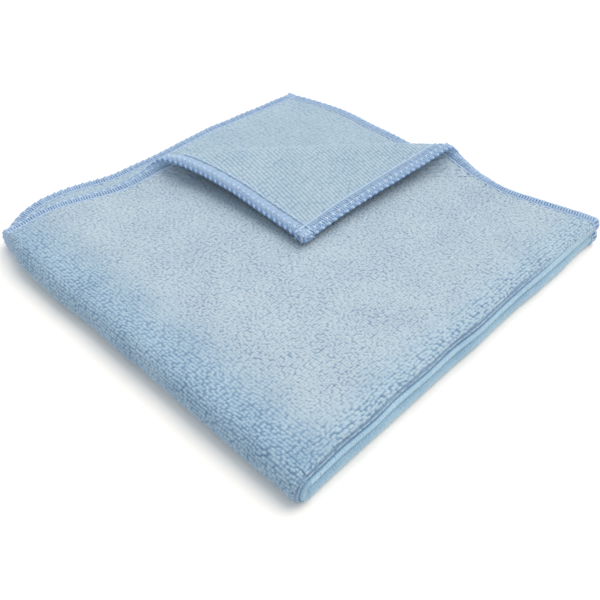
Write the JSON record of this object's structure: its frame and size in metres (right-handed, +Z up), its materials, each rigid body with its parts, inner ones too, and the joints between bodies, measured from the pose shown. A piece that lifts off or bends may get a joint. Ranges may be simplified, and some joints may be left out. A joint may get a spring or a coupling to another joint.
{
  "type": "polishing cloth",
  "caption": "Square looped microfibre polishing cloth with overlocked edges, folded into a flat stack with its top corner turned back, for buffing and drying paintwork.",
  "frame": {"origin": "on the table, under the middle of the folded cloth's bounding box", "axes": "+X to the first fold, -Y to the second fold, -X and +Y to the cloth's own stitched edges, +Z up through the layers"},
  "size_m": [0.2118, 0.2122, 0.0247],
  "materials": {
    "cloth": "looped microfibre pile, pale blue",
    "stitching": "overlocked polyester thread, deeper blue"
  },
  "bodies": {
    "lower_half": {"bottom_layer": "cloth", "bottom_layer_hem_left": "stitching", "bottom_layer_hem_back": "stitching", "second_layer": "cloth", "second_layer_hem_left": "stitching", "second_layer_hem_back": "stitching", "first_fold_lower": "cloth", "first_fold_lower_hem": "stitching", "second_fold_inner": "cloth", "second_fold_inner_hem": "stitching", "second_fold_outer": "cloth", "second_fold_outer_hem": "stitching"},
    "upper_half": {"third_layer": "cloth", "third_layer_hem_left": "stitching", "third_layer_hem_back": "stitching", "top_layer": "cloth", "top_layer_hem_left": "stitching", "top_layer_hem_back": "stitching", "first_fold_upper": "cloth", "first_fold_upper_hem": "stitching", "corner_roll": "cloth", "corner_roll_hem_left": "stitching", "corner_roll_hem_right": "stitching"},
    "free_corner": {"turned_corner": "cloth", "turned_corner_hem_left": "stitching", "turned_corner_hem_right": "stitching"}
  },
  "joints": [
    {"name": "second_fold_opens", "type": "hinge", "parent": "lower_half", "child": "upper_half", "pos_m": [0, -0.10205, 0.00805], "axis": [1, 0, 0], "range_deg": [0, 180], "deforming": ["second_fold_inner", "second_fold_inner_hem", "second_fold_outer", "second_fold_outer_hem"]},
    {"name": "corner_turns", "type": "hinge", "parent": "upper_half", "child": "free_corner", "pos_m": [-0.03468, 0.03468, 0.0198], "axis": [-0.7071, -0.7071, 0], "range_deg": [0, 181], "deforming": ["corner_roll", "corner_roll_hem_left", "corner_roll_hem_right"]}
  ]
}
